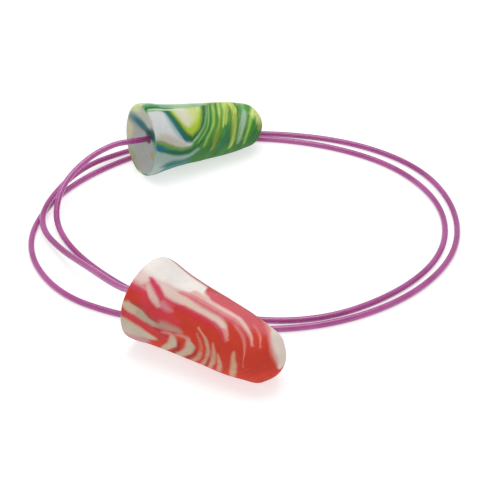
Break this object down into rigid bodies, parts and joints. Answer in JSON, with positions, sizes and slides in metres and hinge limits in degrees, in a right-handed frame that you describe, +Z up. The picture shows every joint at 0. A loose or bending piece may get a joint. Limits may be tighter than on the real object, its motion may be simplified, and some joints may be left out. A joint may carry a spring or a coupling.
{
  "type": "foam ear plugs",
  "caption": "Pair of tapered swirl-coloured foam ear plugs with dished bases, joined by a thin glossy cord that lies in a loose ring of two and a half turns.",
  "frame": {"origin": "on the plane that the plugs lie on, under the middle of the rectangle that the two plugs fill", "axes": "+Z up, +Y along the longer side of that rectangle, from the red plug to the green one, +X the way both noses point and towards the middle of the cord's ring"},
  "size_m": [0.0772, 0.0888, 0.014],
  "materials": {
    "green_foam": "matte swirl-coloured slow-recovery polyurethane foam",
    "red_foam": "matte swirl-coloured slow-recovery polyurethane foam",
    "cord": "glossy soft PVC cord",
    "glue": "clear set glue"
  },
  "bodies": {
    "cord": {"cord": "cord"},
    "green_link": {"green_cord_link": "cord"},
    "green_plug": {"green_foam_plug": "green_foam", "green_cord_tail": "cord", "green_glue_bond": "glue"},
    "red_link": {"red_cord_link": "cord"},
    "red_plug": {"red_foam_plug": "red_foam", "red_cord_tail": "cord", "red_glue_bond": "glue"}
  },
  "joints": [
    {"name": "green_twist", "type": "hinge", "parent": "cord", "child": "green_link", "pos_m": [-0.01257, 0.02789, 0.00719], "axis": [0.8704, 0.4825, -0.0976], "range_deg": [-45, 90]},
    {"name": "green_bend", "type": "hinge", "parent": "green_link", "child": "green_plug", "pos_m": [-0.01083, 0.02886, 0.007], "axis": [0.4848, -0.8746, 0], "range_deg": [0, 65]},
    {"name": "red_twist", "type": "hinge", "parent": "cord", "child": "red_link", "pos_m": [-0.00828, -0.0255, 0.00719], "axis": [0.8052, -0.585, -0.0976], "range_deg": [-45, 90]},
    {"name": "red_bend", "type": "hinge", "parent": "red_link", "child": "red_plug", "pos_m": [-0.00667, -0.02667, 0.007], "axis": [-0.5878, -0.809, 0], "range_deg": [0, 65]}
  ]
}
